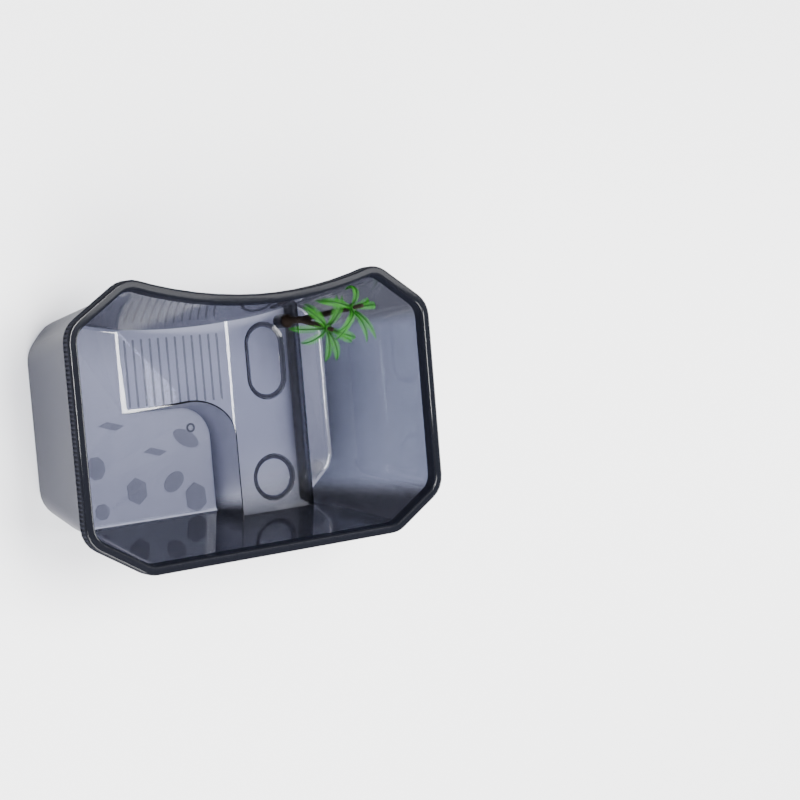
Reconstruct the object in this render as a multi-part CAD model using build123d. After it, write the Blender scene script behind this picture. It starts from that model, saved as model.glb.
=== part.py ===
from build123d import *
import math
import os

# Open plastic tank for a small turtle or lizard, with a plastic palm that lifts out.
# Origin: middle of the tank's rim seen from above, on the surface that the tank stands on.
# +X runs along the length towards the deep pool, +Y towards the bowed back wall, +Z up.

# Tank walls
wall = 2.0
tank_height = 145.5
rim_length = 312.5
rim_width = 211.8
floor_length = 282.0
floor_width = 179.0
back_bow = 18.3
rim_corner_radius = 15.0
floor_corner_radius = 24.0
floor_edge_radius = 3.0

# Flats that stand in for the curves of the outline and of the rounded edges
corner_steps = 4
bow_steps = 12
edge_steps = 3

# Corner cuts of the outline, along X and along Y
rim_front_cut_x = 43.8
rim_front_cut_y = 27.7
rim_back_cut_x = 44.3
rim_back_cut_y = 31.0
floor_front_cut_x = 32.0
floor_front_cut_y = 28.0
floor_back_cut_x = 22.0
floor_back_cut_y = 27.5

# Rim
rim_overhang = 7.5
flange_thickness = 2.4
skirt_depth = 11.0
skirt_wall = 1.6
skirt_recess = 0.6
lip_height = 1.4
rim_edge_radius = 1.9

# Basking platform and the ramp up to it
platform_height = 34.0
ramp_foot_x = -64.0
ramp_top_x = 26.0
platform_wall_x = 106.0
platform_wall_draft = 7.3
platform_edge_radius = 11.0
ramp_crease_radius = 12.0

# Shallow pool in front of the ramp
pool_wall_x = 17.6
pool_wall_y = 4.2
pool_corner_radius = 27.5
pool_wall_draft = 13.5

# Grip grooves across the ramp
groove_count = 12
groove_first_x = -56.8
groove_pitch = 6.7
groove_near_y = 9.2
groove_far_y = 67.0
groove_width = 1.8
groove_depth = 0.7

# Food and water dishes pressed into the platform
dish_depth = 3.0
dish_slope = 4.0
long_dish_x = 62.0
long_dish_y = 39.2
long_dish_length = 67.6
long_dish_width = 38.2
round_dish_x = 60.8
round_dish_y = -64.0
round_dish_diameter = 40.6

# Palm socket
socket_x = 86.4
socket_radius = 4.5
socket_depth = 13.0
socket_wall = 1.7
socket_floor = 2.0

# Raised pebble shapes on the floor: kind, x, y, length, width, turn in degrees
pebble_height = 0.5
pebbles = [
    ("lozenge", -74.4, -4.7, 24.0, 7.5, -4.0),
    ("lozenge", -36.2, -30.9, 22.0, 7.5, -4.0),
    ("oval", -6.0, -22.5, 26.0, 13.5, -32.0),
    ("octagon", -91.4, -38.7, 15.0, 19.0, 4.0),
    ("hexagon", -56.2, -62.6, 17.0, 20.5, 4.0),
    ("oval", -21.0, -58.9, 21.0, 14.5, 38.0),
    ("hexagon", -1.2, -75.2, 18.5, 23.5, 4.0),
    ("octagon", -89.4, -76.1, 12.0, 13.0, 4.0),
    ("hexagon", 123.9, -66.6, 15.0, 17.0, 4.0),
]
gate_x = -0.5
gate_y = -13.9
gate_radius = 4.2
gate_dimple_radius = 2.4

# Palm trunk: foot in the socket, short stem, then two ringed trunks that lean apart
plug_clearance = 0.05
plug_end_gap = 0.5
foot_radius = 6.0
foot_height = 4.0
stem_radius = 3.3
fork_rise = 16.0
fork_dx = 3.6
trunk_root_radius = 2.4
trunk_top_radius = 2.0
ring_step = 0.35
ring_pitch = 3.0
trunk_sides = 8
tall_crown_dx = 15.4
tall_crown_dy = 6.0
tall_crown_below_rim = 26.5
tall_crown_wall_gap = 20.7
tall_tip_length = 13.5
short_crown_dx = -0.5
short_crown_dy = -9.2
short_crown_below_rim = 42.5
short_tip_length = 9.5

# Leaf stars, two stacked on each trunk above a small shoulder
hub_radius = 3.6
hub_sides = 12
hub_height = 1.8
hub_clearance = 0.1
seat_step = 0.6
frond_root_height = 0.5
frond_root_depth = 0.3
frond_length = 30.5
frond_thickness = 0.8
midrib_width = 1.3
leaflet_pairs = 5
leaflet_thickness = 0.5
leaflet_length = 4.4
leaflet_width = 1.0
leaflet_sweep = 2.0

# Fronds of each star: turn about the trunk in degrees, reach from it, drop of the tip
short_lower_fronds = [(-177, 28, 15), (-86, 30, 6), (-28, 30, 4), (68, 29, 4), (128, 25, 12)]
short_upper_fronds = [(-150, 25, 8), (-71, 30, 2), (-20, 29, 1), (63, 30, 1), (139, 28, 5)]
tall_lower_fronds = [(157, 25, 18), (60, 21, 15), (14, 27, 8), (-73, 31, -4), (-114, 27, 13)]
tall_upper_fronds = [(165, 28, 11), (78, 18, 9), (2, 28, 3), (-64, 31, -9), (-133, 26, 2)]

os.makedirs("parts", exist_ok=True)


def between(low, high, share):
    return low + (high - low) * share


class WallLine:
    """Inner outline of the tank wall at a height: straight sides, cut corners and a bowed back."""

    def __init__(self, level):
        share = (level - wall) / (tank_height - wall)
        self.half_x = between(floor_length, rim_length, share) / 2
        self.half_y = between(floor_width, rim_width, share) / 2
        self.front_x = between(floor_front_cut_x, rim_front_cut_x, share)
        self.front_y = between(floor_front_cut_y, rim_front_cut_y, share)
        self.back_x = between(floor_back_cut_x, rim_back_cut_x, share)
        self.back_y = between(floor_back_cut_y, rim_back_cut_y, share)
        self.corner_radius = between(floor_corner_radius, rim_corner_radius, share)
        self.half_bow = self.half_x - self.back_x
        self.bow_radius = (self.half_bow ** 2 + back_bow ** 2) / (2 * back_bow)

    def back_wall_y(self, x):
        """Y of the bowed back wall at a place along the tank."""
        return self.half_y - back_bow + self.bow_radius - math.sqrt(self.bow_radius ** 2 - x ** 2)

    def corners(self):
        """Points of the outline, anticlockwise, each with its corner radius."""
        right = [
            (self.half_x - self.front_x, -self.half_y),
            (self.half_x, -self.half_y + self.front_y),
            (self.half_x, self.half_y - self.back_y),
            (self.half_bow, self.half_y),
        ]
        left = [(-x, y) for x, y in reversed(right)]
        half_angle = math.asin(self.half_bow / self.bow_radius)
        bow = []
        for step in range(1, bow_steps):
            x = self.bow_radius * math.sin(half_angle * (1 - 2 * step / bow_steps))
            bow.append((Vector(x, self.back_wall_y(x)), 0))
        rounded = [(Vector(*point), self.corner_radius) for point in right + left]
        return rounded[:len(right)] + bow + rounded[len(right):]

    def points(self, skin):
        """Outline moved outwards by skin, with its corners rounded in short flats."""
        corners = self.corners()
        line = []
        for index, (corner, radius) in enumerate(corners):
            along = (corner - corners[index - 1][0]).normalized()
            ahead = (corners[(index + 1) % len(corners)][0] - corner).normalized()
            outwards = Vector(along.Y, -along.X)
            turn = math.atan2(along.cross(ahead).Z, along.dot(ahead))
            moved = corner + (outwards + along * math.tan(turn / 2)) * skin
            if radius == 0:
                line.append(moved)
                continue
            spoke = outwards * (radius + skin)
            centre = moved - along * (radius + skin) * math.tan(turn / 2) - spoke
            for step in range(corner_steps + 1):
                line.append(centre + spoke.rotate(Axis.Z, math.degrees(turn) * step / corner_steps))
        return line


def wall_section(level, skin, height=None):
    """Face inside the wall line of a level, grown by skin, lying at a height or at that level."""
    outline = Polyline(*WallLine(level).points(skin), close=True)
    return Pos(0, 0, level if height is None else height) * make_face(outline)


def rounding(radius):
    """Pairs of drop and inset round an edge, from its flat end to its side."""
    angles = [math.pi / 2 * step / edge_steps for step in range(edge_steps + 1)]
    return [(radius * (1 - math.cos(angle)), radius * (1 - math.sin(angle))) for angle in angles]


def floor_sections(bottom, skin):
    """Sections up the rounded bottom edge of the tank's outside or of its inside."""
    radius = floor_edge_radius + skin / 2
    return [wall_section(bottom + drop, skin - inset) for drop, inset in rounding(radius)]


def with_planes(solid):
    """Same solid with a true plane for each flat face of its loft."""
    tiny = 1e-6
    faces = []
    for face in solid.faces():
        start = face.normal_at(0, 0)
        turns = [(face.normal_at(*place) - start).length for place in ((0, 1), (1, 0), (1, 1))]
        faces.append(Face(face.outer_wire()) if max(turns) < tiny else face)
    return Solid(Shell(faces))


def tank_outside():
    return with_planes(loft(floor_sections(0, wall) + [wall_section(tank_height, wall)], ruled=True))


def tank_inside(over):
    """Space in the tank, opening out over the rim's rounded inner edge and run on by over."""
    mouth = [wall_section(tank_height - drop, inset) for drop, inset in reversed(rounding(rim_edge_radius))]
    above = wall_section(tank_height, rim_edge_radius, tank_height + over)
    return with_planes(loft(floor_sections(wall, 0) + mouth + [above], ruled=True))


def rim_band(skin, drop, depth):
    """Upright band of the rim's skirt, from a drop below the top."""
    outer = wall_section(tank_height, skin)
    inner = wall_section(tank_height, rim_overhang - skirt_recess - skirt_wall)
    return Pos(0, 0, -drop) * extrude(outer - inner, -depth)


def rim():
    """Flange round the top with a rounded edge, and a skirt that ends in a lip."""
    edge = []
    for drop, inset in rounding(rim_edge_radius):
        edge.append(wall_section(tank_height, rim_overhang - inset, tank_height - drop))
    below = wall_section(tank_height, rim_overhang, tank_height - flange_thickness)
    flange = with_planes(loft(edge + [below], ruled=True))
    above_lip = skirt_depth - lip_height
    skirt = rim_band(rim_overhang - skirt_recess, flange_thickness, above_lip - flange_thickness)
    return flange + skirt + rim_band(rim_overhang, above_lip, lip_height)


def raised_profile():
    """Side view of the ramp and platform, run on below the floor."""
    top = wall + platform_height
    slope = platform_height / (ramp_top_x - ramp_foot_x)
    lean = math.tan(math.radians(platform_wall_draft))
    below = 12.0
    crease = (ramp_top_x, top)
    edge = (platform_wall_x - platform_height * lean, top)
    corners = [
        (ramp_foot_x - below / slope, wall - below),
        crease,
        edge,
        (platform_wall_x + below * lean, wall - below),
    ]
    face = Plane.XZ * make_face(Polyline(*corners, close=True))
    crease_corner = face.vertices().sort_by(Axis.Z)[-2:].sort_by(Axis.X)[0]
    face = fillet(crease_corner, ramp_crease_radius)
    edge_corner = face.vertices().sort_by_distance((edge[0], 0, top))[0]
    return fillet(edge_corner, platform_edge_radius)


def pool_space(extra):
    """Space over the shallow pool, widening upwards, grown sideways by extra."""
    lean = math.tan(math.radians(pool_wall_draft))
    side_x = pool_wall_x + extra - wall * lean
    side_y = pool_wall_y + extra - wall * lean
    far_x = -floor_length
    far_y = -floor_width
    face = make_face(Polyline((far_x, far_y), (side_x, far_y), (side_x, side_y), (far_x, side_y), close=True))
    corner = face.vertices().sort_by_distance((side_x, side_y, 0))[0]
    face = fillet(corner, pool_corner_radius + extra)
    return extrude(face, platform_height + 4 * wall, taper=-pool_wall_draft)


def raised_block(shrink):
    """Ramp and platform as a solid, or the open channel under them when shrunk by a wall."""
    profile = raised_profile()
    if shrink > 0:
        profile = offset(profile, -shrink, kind=Kind.INTERSECTION)
    block = extrude(profile, rim_width, both=True)
    return block - pool_space(shrink / math.cos(math.radians(pool_wall_draft)))


def dish(x, y, length, width, skin):
    """Flat dish with sloping sides, grown by skin for the plastic under it."""
    side = skin * (math.hypot(dish_slope, dish_depth) - dish_slope) / dish_depth
    over = 2.0
    spread = dish_slope * (dish_depth + skin + over) / dish_depth
    low = wall + platform_height - dish_depth - skin
    floor_half = dish_slope - side
    if length > width:
        bottom = SlotOverall(length - 2 * floor_half, width - 2 * floor_half, rotation=90)
        top = SlotOverall(length - 2 * floor_half + 2 * spread, width - 2 * floor_half + 2 * spread, rotation=90)
    else:
        bottom = Circle(width / 2 - floor_half)
        top = Circle(width / 2 - floor_half + spread)
    lower = Pos(x, y, low) * bottom
    upper = Pos(x, y, low + dish_depth + skin + over) * top
    return loft([lower, upper], ruled=True)


def ramp_grooves():
    """Cutters for the grip grooves, lying along Y on the ramp."""
    slope = math.atan2(platform_height, ramp_top_x - ramp_foot_x)
    length = groove_far_y - groove_near_y
    cutters = []
    for index in range(groove_count):
        x = groove_first_x + index * groove_pitch
        z = wall + (x - ramp_foot_x) * math.tan(slope)
        flat = Rectangle(groove_width, length)
        bar = extrude(chamfer(flat.vertices(), groove_width / 3), groove_depth, both=True)
        place = Pos(x, (groove_near_y + groove_far_y) / 2, z) * Rot(0, -math.degrees(slope), 0)
        cutters.append(place * bar)
    return cutters


def pebble(kind, x, y, length, width, turn):
    """Low flat shape on the floor: an oval, a lozenge with blunt ends, or a many-sided pad."""
    if kind == "oval":
        flat = Ellipse(length / 2, width / 2)
    elif kind == "lozenge":
        points = [(-length / 2, 0), (-width / 2, width / 2), (length / 2, 0), (width / 2, -width / 2)]
        flat = make_face(Polyline(*points, close=True))
    else:
        sides = {"hexagon": 6, "octagon": 8}[kind]
        half_step = math.pi / sides
        points = []
        for index in range(sides):
            angle = (2 * index + 1) * half_step
            stretch = 1 / math.cos(half_step)
            points.append((length / 2 * stretch * math.cos(angle), width / 2 * stretch * math.sin(angle)))
        flat = make_face(Polyline(*points, close=True))
    sunk = wall / 2
    return Pos(x, y, wall - sunk) * Rot(0, 0, turn) * extrude(flat, sunk + pebble_height)


def make_tank():
    over = 6.0
    cavity = tank_inside(over)
    long_dish = (long_dish_x, long_dish_y, long_dish_length, long_dish_width)
    round_dish = (round_dish_x, round_dish_y, round_dish_diameter, round_dish_diameter)
    top = wall + platform_height
    boss_length = socket_depth + socket_floor
    boss = Pos(socket_x, socket_y, top - boss_length) * Cylinder(
        socket_radius + socket_wall, boss_length, align=(Align.CENTER, Align.CENTER, Align.MIN))
    bore = Pos(socket_x, socket_y, top - socket_depth) * Cylinder(
        socket_radius, socket_depth + over, align=(Align.CENTER, Align.CENTER, Align.MIN))

    upper = raised_block(0)
    upper = upper - dish(*long_dish, 0) - dish(*round_dish, 0) - bore
    for cutter in ramp_grooves():
        upper = upper - cutter
    cavity = cavity - upper

    channel = raised_block(wall)
    channel = channel - dish(*long_dish, wall) - dish(*round_dish, wall) - boss

    tank = tank_outside() + rim() - cavity - channel
    for shape in pebbles:
        tank = tank + pebble(*shape)
    gate = Pos(gate_x, gate_y, wall) * Cylinder(gate_radius, 2 * pebble_height)
    dimple = Pos(gate_x, gate_y, wall + pebble_height) * Cylinder(gate_dimple_radius, 2 * pebble_height)
    return tank + gate - dimple


class Trunk:
    """Straight line of one trunk, from the fork to the seat of its leaf stars."""

    def __init__(self, crown_dx, crown_dy, below_rim, tip_length):
        fork = Vector(socket_x + fork_dx, socket_y, wall + platform_height + fork_rise)
        crown = Vector(socket_x + crown_dx, socket_y + crown_dy, tank_height - below_rim)
        self.reach = (crown - fork).length
        self.tip_length = tip_length
        along = (crown - fork).normalized()
        self.root = Plane(origin=fork, x_dir=(1, 0, -along.X / along.Z), z_dir=along)


def ringed(low, high, low_radius, high_radius):
    """Radius and place of each corner of a saw-tooth stretch of trunk."""
    count = round((high - low) / ring_pitch)
    points = []
    for index in range(count):
        radius = between(low_radius, high_radius, index / count)
        points.append((radius, between(low, high, index / count)))
        points.append((radius + ring_step, between(low, high, (index + 1) / count)))
    return points


def many_sided(points, sides):
    """Solid of flat sides round Z through pairs of radius and height."""
    sections = [Pos(0, 0, height) * RegularPolygon(radius, sides) for radius, height in points]
    return loft(sections, ruled=True)


def make_trunk(trunk):
    """Ringed trunk up to the seat of its leaf stars, and the thinner tip that carries them."""
    tip_radius = trunk_top_radius - seat_step
    hubs_top = trunk.reach + 2 * hub_height
    tip_end = trunk.reach + trunk.tip_length
    lower = [(trunk_root_radius, -2 * trunk_root_radius)]
    lower += ringed(0, trunk.reach, trunk_root_radius, trunk_top_radius)
    neck_radius = tip_radius + ring_step
    upper = [(neck_radius, trunk.reach - ring_pitch), (neck_radius, hubs_top)]
    upper += ringed(hubs_top, tip_end, tip_radius, tip_radius)
    upper.append((tip_radius / 2, tip_end + tip_radius))
    return trunk.root * (many_sided(lower, trunk_sides) + many_sided(upper, trunk_sides))


def make_palm_trunk():
    top = wall + platform_height
    plug_length = socket_depth - plug_end_gap
    plug_radius = socket_radius - plug_clearance
    neck_radius = (foot_radius + stem_radius) / 2
    plug = Cylinder(plug_radius, plug_length, align=(Align.CENTER, Align.CENTER, Align.MAX))
    foot = many_sided([(foot_radius, 0), (foot_radius, foot_height / 3), (neck_radius, foot_height)], hub_sides)
    foot = Pos(socket_x, socket_y, top) * (foot + plug)
    low = Pos(socket_x, socket_y, top + foot_height / 2) * RegularPolygon(neck_radius, trunk_sides)
    high = Pos(socket_x + fork_dx, socket_y, top + fork_rise) * RegularPolygon(stem_radius, trunk_sides)
    stem = loft([low, high], ruled=True)
    return foot + [stem, make_trunk(tall_trunk), make_trunk(short_trunk)]


def frond_stations(reach, drop):
    """Points down a frond seen from the side, on an arc, each with its slope there."""
    chord = math.hypot(reach, drop)
    slope = -math.atan2(drop, reach)
    half_turn = math.sqrt(6 * (1 - chord / frond_length))
    radius = chord / (2 * math.sin(half_turn))
    stations = []
    for index in range(leaflet_pairs + 2):
        heading = slope + half_turn * (1 - 2 * index / (leaflet_pairs + 1))
        x = radius * (math.sin(slope + half_turn) - math.sin(heading))
        z = radius * (math.cos(heading) - math.cos(slope + half_turn))
        stations.append((x, z, heading))
    return stations


def make_frond(reach, drop):
    """Pieces of one frond: an arched midrib and pairs of leaflets swept towards its tip."""
    start = hub_radius - frond_root_depth
    stations = frond_stations(reach - start, drop + frond_root_height)
    above = []
    below = []
    for x, z, heading in stations:
        offset_x = frond_thickness / 2 * math.sin(heading)
        offset_z = frond_thickness / 2 * math.cos(heading)
        above.append((start + x - offset_x, frond_root_height + z + offset_z))
        below.append((start + x + offset_x, frond_root_height + z - offset_z))
    side = Plane.XZ * make_face(Polyline(*above, *reversed(below), close=True))
    pieces = [extrude(side, midrib_width / 2, both=True)]
    for index in range(1, leaflet_pairs + 1):
        x, z, heading = stations[index]
        length = leaflet_length * math.sin(math.pi * (0.2 + 0.65 * index / leaflet_pairs))
        half_width = leaflet_width / 2
        points = [(-half_width, 0), (leaflet_sweep, length), (half_width, 0), (leaflet_sweep, -length)]
        flat = make_face(Polyline(*points, close=True))
        leaflet = extrude(flat, leaflet_thickness / 2, both=True)
        lie = Plane(
            origin=(start + x, 0, frond_root_height + z),
            x_dir=(math.cos(heading), 0, math.sin(heading)),
            z_dir=(-math.sin(heading), 0, math.cos(heading)))
        pieces.append(lie * leaflet)
    return pieces


def make_leaves(trunk, storey, fronds):
    """Star of fronds round a hub, on the trunk's shoulder or on the star below it."""
    bore_radius = trunk_top_radius - seat_step + ring_step + hub_clearance
    hub = extrude(RegularPolygon(hub_radius, hub_sides), hub_height)
    pieces = []
    for turn, reach, drop in fronds:
        pieces += [Rot(0, 0, turn) * piece for piece in make_frond(reach, drop)]
    star = hub + pieces
    star = star - Cylinder(bore_radius, 4 * hub_height)
    return trunk.root * Pos(0, 0, trunk.reach + storey * hub_height) * star


# The palm's socket lies where its taller crown keeps its gap from the bowed back wall
crown_wall = WallLine(tank_height - tall_crown_below_rim)
socket_y = crown_wall.back_wall_y(socket_x + tall_crown_dx) - tall_crown_wall_gap - tall_crown_dy
tall_trunk = Trunk(tall_crown_dx, tall_crown_dy, tall_crown_below_rim, tall_tip_length)
short_trunk = Trunk(short_crown_dx, short_crown_dy, short_crown_below_rim, short_tip_length)

nodes = {
    "tank": make_tank(),
    "palm_trunk": make_palm_trunk(),
    "short_leaves_lower": make_leaves(short_trunk, 0, short_lower_fronds),
    "short_leaves_upper": make_leaves(short_trunk, 1, short_upper_fronds),
    "tall_leaves_lower": make_leaves(tall_trunk, 0, tall_lower_fronds),
    "tall_leaves_upper": make_leaves(tall_trunk, 1, tall_upper_fronds),
}

middle = nodes["tank"].bounding_box().center()
for name, solid in nodes.items():
    export_step(Pos(-middle.X, -middle.Y, 0) * solid, f"parts/{name}.step")
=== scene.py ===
import math
from types import SimpleNamespace

import bmesh
import bpy
from mathutils import Euler, Matrix, Vector


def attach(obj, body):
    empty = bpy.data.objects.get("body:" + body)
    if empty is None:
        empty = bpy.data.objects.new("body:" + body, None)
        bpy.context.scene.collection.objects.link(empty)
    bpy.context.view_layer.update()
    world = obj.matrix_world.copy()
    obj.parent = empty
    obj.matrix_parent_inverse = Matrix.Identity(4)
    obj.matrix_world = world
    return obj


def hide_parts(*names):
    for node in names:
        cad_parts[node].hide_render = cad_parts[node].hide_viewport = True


# Open plastic tank for a small turtle or lizard, with a plastic palm, on a white table.
# Metres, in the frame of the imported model: +X to the deep pool, +Y to the bowed back, +Z up.

MM = 0.001

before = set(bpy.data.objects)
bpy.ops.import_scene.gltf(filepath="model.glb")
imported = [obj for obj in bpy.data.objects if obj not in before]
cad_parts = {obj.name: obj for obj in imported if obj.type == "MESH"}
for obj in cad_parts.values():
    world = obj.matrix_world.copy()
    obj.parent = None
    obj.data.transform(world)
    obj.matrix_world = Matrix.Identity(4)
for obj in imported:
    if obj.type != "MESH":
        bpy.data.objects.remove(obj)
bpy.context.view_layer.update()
scene = bpy.context.scene

# Camera, at the photograph's place
CAMERA_PLACE = Vector((-580.9, 65.9, 1179.1)) * MM
CAMERA_TURN = (0.1516, -34.4786, -5.7177)
CAMERA_LENS = 66.78
SENSOR_WIDTH = 36.0

# Smoke plastic of the tank: how it bends light, how fast light sinks in it, its faces' tints; the
# right end's bluer tint is painted light coming through it
SMOKE_IOR = 1.49
SMOKE_DEPTH_COLOUR = (0.1, 0.11, 0.21)
SMOKE_DENSITY = 370.0
SMOKE_SHADOW = (0.78, 0.79, 0.84)
SMOKE_ROUGHNESS = (0.06, 0.04)
MATTE_ROUGHNESS = 0.06
SMOKE_PEEL = 0.04
SMOKE_PEEL_SCALE = 500.0
SMOKE_CLOUD_SCALE = 9.0
FLOOR_TINT = (0.93, 0.95, 1.07)
END_PAINTED_TINT = (0.86, 0.94, 1.3)

# Share of colour that each face of the tank keeps, and what the clouds in it leave of that; the
# walls' and deep floor's tones are painted shade, darkest on the front wall, and the rim is dark of
# its own
FLOOR_TONE = 0.8
DEEP_FLOOR_PAINTED_SHADE = 0.62
LEFT_END_PAINTED_SHADE = 0.5
RIGHT_END_PAINTED_SHADE = 0.16
BACK_PAINTED_SHADE = 0.1
FRONT_PAINTED_SHADE = 0.012
RIM_TONE = 0.012
CLOUDED_TONE = 0.92

# Where each tone and painted shade starts and is full: slope of a face, then places along X, Y or Z
LEVEL_FACE = (0.35, 0.7)
OUTER_FACE = (0.05, 0.07)
RIGHT_END = (100.0 * MM, 108.0 * MM)
FRONT_WALL = (-72.0 * MM, -90.0 * MM)
BACK_WALL = (60.0 * MM, 78.0 * MM)
RIM_START = (135.2 * MM, 135.8 * MM)
PLATFORM_RISE = (14.0 * MM, 30.0 * MM)
PLATFORM_EDGE = (58.0 * MM, 94.0 * MM)
PLATFORM_FRONT = (-40.0 * MM, -100.0 * MM)
PLATFORM_SIDE = (88.0 * MM, 94.0 * MM)
PLATFORM_SIDE_END = (109.0 * MM, 107.0 * MM)
PLATFORM_SIDE_FOOT = (2.5 * MM, 5.0 * MM)
PLATFORM_SIDE_TOP = (38.0 * MM, 36.0 * MM)

# Painted shade: share of the colour that the platform's shaded parts and the dark lines keep; pebble
# tops are darker as well
PEBBLE_SHADE = 0.6
LINE_SHADE = 0.03
PLATFORM_EDGE_SHADE = 0.65
PLATFORM_FRONT_SHADE = 0.1
PLATFORM_SIDE_SHADE = 0.8

# Satin layer of the walls, rim and dishes: share that it hides, its colours and roughness; on the
# long walls and the dishes' sides its dark colour adds painted shade
WALL_HAZE = 0.7
FLANGE_HAZE = 0.5
SKIRT_HAZE = 0.94
LONG_WALL_HAZE = 0.3
DISH_SIDE_HAZE = 0.85
WALL_HAZE_COLOUR = (0.03, 0.031, 0.047)
RIM_HAZE_COLOUR = (0.008, 0.0088, 0.0136)
HAZE_ROUGHNESS = (0.1, 0.35)

# Meshing: radius that the moulding's sharp edges are eased to, angles in degrees, distances
# that count as touching, and slopes of level and upright faces
EDGE_SOFTENING = 0.3 * MM
SOFTENED_ANGLE = 35
SHADING_ANGLE = 32
FLAT_ANGLE = 0.05
WELD = 0.002 * MM
SAME_PLACE = 0.01 * MM
CLOSE = 0.1 * MM
LEVEL_NORMAL = 0.99
UPRIGHT_NORMAL = 0.3

# Features of the tank's floor, ramp and dishes, and how dark a line of painted shade each makes
PEBBLE_TOP = 2.5 * MM
PEBBLE_RISE = 0.45 * MM
PEBBLE_OUTLINE = 0.4 * MM
PEBBLE_LINE = 0.6
GROOVE_LINE = 0.85
DISH_TOP = 36.0 * MM
DISH_FLOOR = 33.0 * MM
GATE = Vector((-0.5, -13.13, 2.5)) * MM
GATE_RING = 3.3 * MM
GATE_RING_EDGE = (1.08 * MM, 0.72 * MM)
GATE_RADIUS = 4.2 * MM
GATE_LINE = 0.8
RAMP_FOOT = Vector((-64.0, 0.0, 2.0)) * MM
RAMP_TOP = Vector((26.0, 0.0, 36.0)) * MM
GROOVE_NEAR = 9.5 * MM
GROOVE_FAR = 68.5 * MM
GROOVE_TOP = 18.0 * MM
GROOVE_DEPTH = (0.1 * MM, 0.9 * MM)
DISH_BASE = 30.8 * MM
DISH_SLOPE = (0.5, 0.99)
DISH_SPAN = (36.0 * MM, 81.4 * MM)
DISH_LINE = 1.0
DISH_MARK = (0.9, 1.0)

# Ribs round the skirt of the rim
RIB_PITCH = 3.4 * MM
RIB_WIDTH = 2.0 * MM
RIB_DEPTH = 0.6 * MM
RIB_LOW = 135.6 * MM
RIB_HIGH = 143.0 * MM
RIB_SIDES = 10

# Palm trunk: plug and foot on the platform's socket, stem to the fork, two ringed trunks.
# Its profiles are pairs of height or distance and girth, in mm; a bark ring's are shares of
# the ring's pitch and of its step.
SOCKET = Vector((86.4, 73.35, 36.0)) * MM
FOOT_PROFILE = [
    (-12.5, 4.3), (-12.2, 4.45), (0.0, 4.45), (0.05, 5.9),
    (1.0, 6.0), (2.2, 5.7), (3.3, 5.0), (4.0, 4.2)]
STEM_GIRTH = (3.9, 3.2)
TRUNK_GIRTH = (2.0, 1.7)
TIP_GIRTH = 1.3
RING_PITCH = 2.6
RING_STEP = 0.7
RING_PROFILE = [(0.12, 0.0), (0.75, 0.8), (0.9, 1.0), (1.0, 0.7)]
STEM_SHARES = (0.35, 0.7)
STEM_CAP = Vector((0.3, 0, 1.6)) * MM
CAP_SHARE = 0.6
TRUNK_ROOT = -4.0
CROWN_GAP = 0.3
SLEEVE_GAP = 0.1
SLEEVE_STEP = 0.4
TIP_CAP = (0.6, 1.2)
TRUNK_SIDES = 20
BARK_SHADING_ANGLE = 35
TALL_TIP = 13.5
SHORT_TIP = 9.5

# Palm leaves
FROND_LENGTH = 30.5 * MM
FROND_OVERLAP = 0.3 * MM
HUB_RADIUS = 3.6 * MM
HUB_TAPER = 0.85
HUB_SIDES = 24
HUB_RIB = 0.8
HUB_HEIGHT = 1.8 * MM
ROOT_HEIGHT = 0.5 * MM
LEAFLET_PAIRS = 18
LEAFLET_LENGTH = 3.9 * MM
LEAFLET_WIDTH = 1.0 * MM
LEAFLET_THICKNESS = 0.34 * MM
LEAFLET_SIDES = 6
LEAFLET_TIP = 0.5
LEAFLET_SWELL = (2.45, 0.5)
LEAFLET_SWEEP = (0.25, 0.5)
LEAFLET_LIFT = -0.22
OTHER_SIDE_SEED = 50
MIDRIB_RADIUS = 0.95 * MM
MIDRIB_SIDES = 8
MIDRIB_TAPER = -0.65
LEAF_SHADING_ANGLE = 40
FORK = Vector((90.0, 73.35, 52.0)) * MM
SHORT_CROWN = Vector((85.9, 64.15, 103.0)) * MM
TALL_CROWN = Vector((101.8, 79.35, 119.0)) * MM

# Fronds of each star: turn about the trunk in degrees, reach from it, drop of the tip, in mm
FRONDS = {
    "short_leaves_lower": [(-177, 28, 15), (-86, 30, 6), (-28, 30, 4), (68, 29, 4), (128, 25, 12)],
    "short_leaves_upper": [(-150, 25, 8), (-71, 30, 2), (-20, 29, 1), (63, 30, 1), (139, 28, 5)],
    "tall_leaves_lower": [(157, 25, 18), (60, 21, 15), (14, 27, 8), (-73, 31, -4), (-114, 27, 13)],
    "tall_leaves_upper": [(165, 28, 11), (78, 18, 9), (2, 28, 3), (-64, 31, -9), (-133, 26, 2)],
}

# Leaf stars: node, crown that it sits on, storey above it
STARS = (
    ("short_leaves_lower", SHORT_CROWN, 0), ("short_leaves_upper", SHORT_CROWN, 1),
    ("tall_leaves_lower", TALL_CROWN, 0), ("tall_leaves_upper", TALL_CROWN, 1))
FIRST_SEED = 10

# Moulded plastic: swing of its roughness, height of its orange peel
GLOSS_SPREAD = 0.04
PEEL_HEIGHT = 0.1 * MM

# Studio: white table, even sky and soft boxes (name, place, target, size, watts)
TABLE_SIZE = 8.0
SKY_COLOUR = (0.93, 0.95, 1.0)
SKY_STRENGTH = 0.5
SOFT_BOXES = (
    ("key_light", (-0.8, -1.5, 1.7), (0, 0, 0.05), (1.9, 1.9), 165.0),
    ("fill_light", (2.2, -0.2, 1.1), (0.1, 0, 0), (1.5, 1.5), 100.0),
    ("top_light", (0.05, 0.3, 2.0), (0.05, 0.2, 0), (0.7, 0.9), 90.0),
    ("back_rim_light", (1.05, 0.32, 2.0), None, (1.3, 0.38), 9.0))


def link(obj):
    scene.collection.objects.link(obj)
    return obj


def new_piece(name, mesh, body):
    """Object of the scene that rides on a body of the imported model."""
    piece = link(bpy.data.objects.new(name, mesh))
    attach(piece, body)
    return piece


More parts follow.
